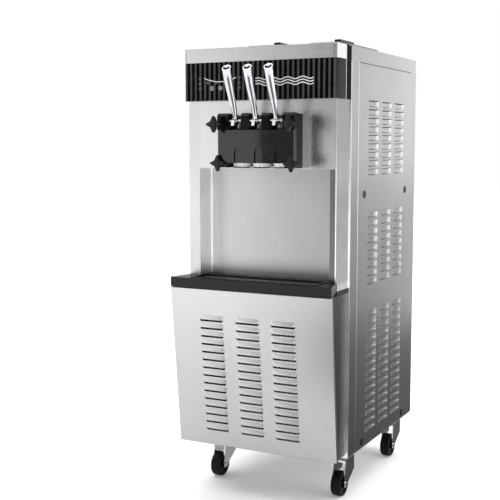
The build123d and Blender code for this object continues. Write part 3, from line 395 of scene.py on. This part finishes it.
# ------------------------------------------------------------------ pressed sheets
SHEET = 0.0012          # thickness
GUARD = 0.0009          # keeps the flat beside a pressing flat
FOLDED = 0.0037         # past this depth, the folds of two edges don't meet at a corner
CREASE = math.radians(32)
SLOT_END = 0.002        # a slot stops this far inside its louvre's ends
END_STEPS = (0, 0.12, 0.27, 0.45, 0.7, 1.0)     # lines across the sloping end of a louvre

# kinds of folded edge: (run, drop, steps)
ROUND = (0.0025, 0.0025, 3)
TIGHT = (0.0012, 0.0012, 2)
SHARP = (0.0003, 0.0003, 1)
CHAMFER = (0.0035, 0.0020, 1)


def swell(t):
    """Rises from 0 to 1 with a crisp start and a smooth end."""
    return math.sin(math.pi / 2 * min(1.0, max(0.0, t)))


def fold_lines(low, high, depth, first, last):
    """Lines across a sheet's folded edges, as (place, how far behind the face), for both ends.
    first and last are kinds of folded edge; one step makes a flat chamfer."""
    start, end = [(low, depth)], [(high, depth)]
    for lines, edge, way, (run, drop, steps) in ((start, low, 1, first), (end, high, -1, last)):
        for i in range(steps + 1):
            turn = math.pi / 2 * (1 - i / steps)
            place = edge + way * run * (1 - math.sin(turn))
            lines.append((place, drop * (1 - math.cos(turn))))
        lines.append((edge + way * (run + GUARD), 0.0))
    return start, end[::-1]


def pressed_sheet(name, origin, axes, spans, columns, rows, louvre, fold, ends):
    """A folded sheet with rows of pressed louvres. axes are u, v and outwards, and spans are
    the sheet's ends along u and v. columns are (start, end) along u and rows are the cuts along
    v. louvre is a dict: height along v from the cut (below it where negative), how proud it
    stands (negative is pressed inwards), the length of its sloping ends, the open slot under
    the cut, its profile and the lines across it. fold is the depth of the folded edges, and
    ends are the kinds of folded edge at the start and end of u and of v."""
    u_axis, v_axis, out = axes
    high, proud, slope, slot = louvre["high"], louvre["proud"], louvre["ends"], louvre["slot"]
    guard = math.copysign(GUARD, high)
    u_start, u_end = fold_lines(*spans[0], fold, *ends[:2])
    v_start, v_end = fold_lines(*spans[1], fold, *ends[2:])
    u_places = []
    for low, top in columns:
        u_places += [low + slope * t for t in END_STEPS] + [top - slope * t for t in END_STEPS]
        u_places += [low - GUARD, (low + top) / 2, top + GUARD]
    u_lines = u_start + [(p, 0.0) for p in sorted(set(round(p, 6) for p in u_places))] + u_end
    # a cut is two lines at one place: -1 below it and 1 above it
    middle = []
    for cut in rows:
        middle += [(cut, 0.0, -1), (cut, 0.0, 1)]
        middle += [(cut + high * t, 0.0, 0) for t in louvre["lines"]]
        middle += [(cut + high + guard, 0.0, 0), (cut - slot - guard, 0.0, 0)]
        if slot:
            middle.append((cut - slot, 0.0, 0))
    v_lines = [(p, b, 0) for p, b in v_start]
    v_lines += sorted(middle, key=lambda line: (round(line[0], 6), line[2]))
    v_lines += [(p, b, 0) for p, b in v_end]

    def along(u):
        best = 0.0
        for low, top in columns:
            if low <= u <= top:
                best = swell(min(u - low, top - u) / slope)
        return best

    def across(v, side):
        best = 0.0
        for cut in rows:
            t = (v - cut) / high
            if abs(t) < 1e-6 and side * high < 0:
                continue
            if -1e-6 <= t <= 1.0:
                best = louvre["profile"](max(0.0, t))
        return best

    def in_slot(u, v):
        inside_u = any(low + SLOT_END < u < top - SLOT_END for low, top in columns)
        return inside_u and any(cut - slot < v < cut for cut in rows)

    bm = bmesh.new()
    u_profile = [along(u) if b == 0 else 0.0 for u, b in u_lines]
    v_profile = [across(v, side) if b == 0 else 0.0 for v, b, side in v_lines]
    grid = []
    for (v, v_back, side), v_factor in zip(v_lines, v_profile):
        row = []
        for (u, u_back), u_factor in zip(u_lines, u_profile):
            rise = proud * u_factor * v_factor - u_back - v_back
            row.append(bm.verts.new(origin + u_axis * u + v_axis * v + out * rise))
        grid.append(row)
    flip = u_axis.cross(v_axis).dot(out) < 0
    for j in range(len(v_lines) - 1):
        if v_lines[j][2] == -1 and v_lines[j + 1][2] == 1:
            continue
        for i in range(len(u_lines) - 1):
            folded_u = max(u_lines[i][1], u_lines[i + 1][1]) > FOLDED
            folded_v = max(v_lines[j][1], v_lines[j + 1][1]) > FOLDED
            if folded_u and folded_v:
                continue
            u_mid = (u_lines[i][0] + u_lines[i + 1][0]) / 2
            v_mid = (v_lines[j][0] + v_lines[j + 1][0]) / 2
            if slot and in_slot(u_mid, v_mid):
                continue
            corners = [grid[j][i], grid[j][i + 1], grid[j + 1][i + 1], grid[j + 1][i]]
            bm.faces.new(corners[::-1] if flip else corners)
    bmesh.ops.remove_doubles(bm, verts=bm.verts, dist=1e-6)
    bmesh.ops.dissolve_degenerate(bm, dist=1e-7, edges=bm.edges)
    loose = [v for v in bm.verts if not v.link_faces]
    bmesh.ops.delete(bm, geom=loose, context="VERTS")
    for face in bm.faces:
        face.smooth = True
    for edge in bm.edges:
        if len(edge.link_faces) == 2 and edge.calc_face_angle(0.0) > CREASE:
            edge.smooth = False
    return finish_mesh(bm, name, SHEET, -1.0)


def finish_mesh(bm, name, thickness, offset):
    """Makes the object, thickened from its one layer of faces."""
    mesh = bpy.data.meshes.new(name)
    bm.to_mesh(mesh)
    bm.free()
    obj = bpy.data.objects.new(name, mesh)
    bpy.context.collection.objects.link(obj)
    solid = obj.modifiers.new("thickness", "SOLIDIFY")
    solid.thickness = thickness
    solid.offset = offset
    return obj


X, Y, Z = Vector((1, 0, 0)), Vector((0, 1, 0)), Vector((0, 0, 1))

# side panels: three groups of louvres, pressed inwards below their cuts
PANEL_PROUD = 0.0020    # the side panels lap over the posts
PANEL_FOLD = 0.006
SIDE_HALF = 0.048       # half of a louvre's length
SIDE_PITCH = 0.027
SIDE_GROUPS = ((1.243, 9), (0.890, 9), (0.570, 15))     # middle of the top louvre, and how many
SIDE_COLUMNS = [(FRONT + c - SIDE_HALF, FRONT + c + SIDE_HALF) for c in (0.195, 0.320, 0.444)]
SIDE_RISE = 0.0085      # from a louvre's middle up to its cut
SIDE_CUTS = [top - SIDE_PITCH * i + SIDE_RISE for top, n in SIDE_GROUPS for i in range(n)]
SCOOP = {
    "high": -0.0205, "proud": -0.0090, "ends": 0.026, "slot": 0.0,
    "profile": lambda t: swell((1 - t) / 0.24),
    "lines": (0.12, 0.45, 0.74, 0.79, 0.84, 0.89, 0.945, 1.0),
}
for name, side in (("left", -1), ("right", 1)):
    low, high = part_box(f"side_panel_{name}")
    face_x = (high.x if side > 0 else low.x) + side * PANEL_PROUD
    panel = pressed_sheet(
        f"side_sheet_{name}", X * face_x, (Y, Z, X * side),
        ((low.y, high.y), (low.z, high.z - 0.0018)), SIDE_COLUMNS, SIDE_CUTS, SCOOP,
        PANEL_FOLD, (CHAMFER, TIGHT, TIGHT, SHARP),
    )
    panel.data.materials.append(steel_side)
    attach(panel, "cabinet")
    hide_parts(f"side_panel_{name}")

# lower front panel: leans back towards its foot, with a hood over each slot
DOOR_REACH = 0.190      # how far its head stands in front of the cabinet
DOOR_LEAN = 0.056
DOOR_LOW, DOOR_HIGH = 0.158, 0.6674
DOOR_FOLD = 0.012
DOOR_PITCH = 0.0257
DOOR_SLOT = 0.082       # length of a slot
DOOR_COLUMNS = [(x, x + DOOR_SLOT) for x in (-0.173, -0.048, 0.073)]
DOOR_CUTS = [0.057 + DOOR_PITCH * i for i in range(15)]
low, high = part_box("lower_front_panel")
door_half = (high.x - low.x) / 2
foot = Vector((0, FRONT - DOOR_REACH + DOOR_LEAN, DOOR_LOW))
head = Vector((0, FRONT - DOOR_REACH, DOOR_HIGH))
door_up = (head - foot).normalized()
HOOD_TURN = 0.7         # the hood's straight slope ends here, and its upper edge rounds off


def hood_profile(t):
    if t < HOOD_TURN:
        return (1 - t) ** 0.8
    return (1 - HOOD_TURN) ** 0.8 * (1 - swell((t - HOOD_TURN) / (1 - HOOD_TURN)))


HOOD = {
    "high": 0.0150, "proud": 0.0042, "ends": 0.009, "slot": 0.0070, "profile": hood_profile,
    "lines": (0.12, 0.25, 0.4, 0.55, 0.7, 0.85, 1.0),
}
door = pressed_sheet(
    "lower_front_sheet", foot, (X, door_up, X.cross(door_up)),
    ((-door_half, door_half), (0.0, (head - foot).length)),
    DOOR_COLUMNS, DOOR_CUTS, HOOD, DOOR_FOLD, (ROUND,) * 4,
)
door.data.materials.append(steel_door)
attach(door, "cabinet")
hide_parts("lower_front_panel")

# ------------------------------------------------------------------ marks on the marquee
PRINT_Y = MARQUEE_FRONT - 0.0002
FILM = 0.00015
RIM_POINTS = 28


def ribbon(bm, points, width):
    """A flat printed line through (x, z) points, facing the front."""
    edges = []
    for i, (x, z) in enumerate(points):
        before = Vector(points[max(0, i - 1)])
        after = Vector(points[min(len(points) - 1, i + 1)])
        across = (after - before).normalized()
        across = Vector((-across.y, across.x)) * width / 2
        edges.append((
            bm.verts.new((x + across.x, PRINT_Y, z + across.y)),
            bm.verts.new((x - across.x, PRINT_Y, z - across.y)),
        ))
    for a, b in zip(edges, edges[1:]):
        bm.faces.new((a[0], b[0], b[1], a[1]))


def rim(bm, x, z, radius):
    turns = [2 * math.pi * i / RIM_POINTS for i in range(RIM_POINTS)]
    return [
        bm.verts.new((x + radius * math.cos(t), PRINT_Y, z + radius * math.sin(t))) for t in turns
    ]


def dot(bm, x, z, radius):
    bm.faces.new(rim(bm, x, z, radius))


def ring(bm, x, z, outer, inner):
    far, near = rim(bm, x, z, outer), rim(bm, x, z, inner)
    for i in range(RIM_POINTS):
        j = (i + 1) % RIM_POINTS
        bm.faces.new((far[i], far[j], near[j], near[i]))


WAVE_LEVELS = (1.2935, 1.3020, 1.3105)
WAVE_RISE = 0.0032
WAVE_START, WAVE_END, WAVE_LENGTH = -8, 186, 49.0       # in millimetres
ARC_START, ARC_TOP, ARC_STEP, ARC_STEPS = -0.186, 1.3175, 0.0056, 20
LAMP_COLUMNS, LAMP_ROWS = (-0.2010, -0.0640), (1.2860, 1.3010, 1.3160)
DOT_COLUMNS, DOT_ROW = (-0.1740, -0.1440, -0.1140), 1.3030


def draw_waves(bm):
    for level in WAVE_LEVELS:
        points = [
            (x / 1000, level + WAVE_RISE * math.sin(2 * math.pi * (x + 11) / WAVE_LENGTH))
            for x in range(WAVE_START, WAVE_END, 2)
        ]
        ribbon(bm, points, 0.0030)


def draw_arc(bm):
    """It hangs between its ends, lowest in the middle."""
    points = [
        (ARC_START + ARC_STEP * i, ARC_TOP - 0.00012 * i * (ARC_STEPS - i))
        for i in range(ARC_STEPS + 1)
    ]
    ribbon(bm, points, 0.0022)


def draw_lamps(bm):
    for x in LAMP_COLUMNS:
        for z in LAMP_ROWS:
            ring(bm, x, z, 0.0046, 0.0030)
            dot(bm, x, z, 0.0014)
    for x in DOT_COLUMNS:
        dot(bm, x, DOT_ROW, 0.0034)


for name, paint, draw in (
    ("marquee_waves", print_white, draw_waves),
    ("marquee_arc", print_white, draw_arc),
    ("marquee_lamps", print_dim, draw_lamps),
):
    bm = bmesh.new()
    draw(bm)
    bmesh.ops.recalc_face_normals(bm, faces=bm.faces)
    mark = finish_mesh(bm, name, FILM, 0.0)
    mark.data.materials.append(paint)
    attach(mark, "cabinet")


# ------------------------------------------------------------------ softened CAD edges
def soften(starts, width, segments=2):
    """Small rounded edges on CAD pieces whose real edges are rounded."""
    for name in nodes:
        if name.startswith(starts):
            bevel = nodes[name].modifiers.new("edge", "BEVEL")
            bevel.width = width
            bevel.segments = segments
            bevel.limit_method = "ANGLE"
            bevel.angle_limit = math.radians(35)
            bevel.harden_normals = False


soften("top_cap", 0.0010)
soften("top_frame", 0.0012)
soften("drip_shelf", 0.0015, segments=3)
soften(("head_body", "head_cover"), 0.0014, segments=3)
soften(("nozzle_caps", "nozzle_rings"), 0.0006)
soften("knob_", 0.0012, segments=3)
soften("fork_", 0.0008)

# ------------------------------------------------------------------ floor and light
FLOOR_HALF = 20.0


def sheet_object(name, corners):
    mesh = bpy.data.meshes.new(name)
    mesh.from_pydata(corners, [], [(0, 1, 2, 3)])
    obj = bpy.data.objects.new(name, mesh)
    bpy.context.collection.objects.link(obj)
    return obj


CORNERS = ((-1, -1), (1, -1), (1, 1), (-1, 1))
floor = sheet_object("floor", [(x * FLOOR_HALF, y * FLOOR_HALF, 0) for x, y in CORNERS])
m = Mat("floor_pale", color=(0.90, 0.90, 0.90), shine=0.0)
m.inputs["Emission Color"].default_value = (1.0, 1.0, 1.0, 1.0)
m.inputs["Emission Strength"].default_value = 0.15
m.roughness(m.ramp(m.noise(6.0, 3.0), [(0.3, 0.45), (0.7, 0.62)]))
floor.data.materials.append(m.mat)

# the room is white to the camera, and dim in front and bright behind for everything else
world = bpy.data.worlds.new("studio")
bpy.context.scene.world = world
world.use_nodes = True
tree = world.node_tree
background = tree.nodes["Background"]
background.inputs["Strength"].default_value = 1.0
coord = tree.nodes.new("ShaderNodeTexCoord")
separate = tree.nodes.new("ShaderNodeSeparateXYZ")
span = tree.nodes.new("ShaderNodeMapRange")
span.inputs["From Min"].default_value = -0.9
span.inputs["From Max"].default_value = 0.9
ramp = tree.nodes.new("ShaderNodeValToRGB")
for element, tone in zip(ramp.color_ramp.elements, ((0.34, 0.34, 0.345, 1), (1.15, 1.15, 1.155, 1))):
    element.color = tone
seen = tree.nodes.new("ShaderNodeMix")
seen.data_type = "RGBA"
seen.inputs[7].default_value = (1.0, 1.0, 1.0, 1.0)
path = tree.nodes.new("ShaderNodeLightPath")
for output, socket in (
    (coord.outputs["Generated"], separate.inputs[0]),
    (separate.outputs[1], span.inputs["Value"]),
    (span.outputs["Result"], ramp.inputs["Fac"]),
    (path.outputs["Is Camera Ray"], seen.inputs[0]),
    (ramp.outputs["Color"], seen.inputs[6]),
    (seen.outputs[2], background.inputs["Color"]),
):
    tree.links.new(output, socket)
bpy.context.scene.view_settings.view_transform = "Standard"


def area(name, location, target, size, power):
    data = bpy.data.lights.new(name, "AREA")
    data.energy = power
    data.shape = "RECTANGLE"
    data.size, data.size_y = size
    obj = bpy.data.objects.new(name, data)
    obj.location = location
    obj.rotation_euler = (Vector(target) - Vector(location)).to_track_quat("-Z", "Y").to_euler()
    bpy.context.collection.objects.link(obj)


def card(name, corners, tone):
    """A dark card near the object, which only shows as a reflection in the steel."""
    obj = sheet_object(name, corners)
    obj.visible_camera = False
    obj.visible_diffuse = False
    obj.visible_shadow = False
    obj.data.materials.append(Mat(name, color=grey(tone), rough=0.9).mat)


area("key", (-3.17, -3.65, 1.6), (0, 0, 1.0), (3.0, 3.0), 34)
area("fill", (4.2, 0.2, 1.6), (0.2, 0.1, 0.8), (2.6, 3.0), 48)
area("back_top", (1.2, 3.0, 4.6), (0.25, 0.2, 0.5), (3.0, 1.4), 48)
area("low_front", (2.1, -4.4, 0.45), (0, 0, 0.8), (2.0, 0.9), 15)
sun_data = bpy.data.lights.new("overhead", "SUN")
sun_data.energy = 2.1
sun_data.angle = math.radians(75)
sun = bpy.data.objects.new("overhead", sun_data)
sun.rotation_euler = (math.radians(-8), math.radians(-12), 0)
bpy.context.collection.objects.link(sun)
LOW = 0.003             # the cards on the floor lie just above it
card("card_near", [(-0.6, -2.4, LOW), (1.3, -2.2, LOW), (0.9, -0.9, LOW), (-0.25, -1.15, LOW)], 0.12)
card("card_floor", [(0.27, -0.35, LOW), (3.2, -0.35, LOW), (3.2, 2.6, LOW), (0.27, 3.2, LOW)], 0.06)
card("card_side", [(1.05, 3.3, 0.0), (3.4, 2.9, 0.0), (3.4, 2.9, 0.7), (1.05, 3.3, 0.9)], 0.4)
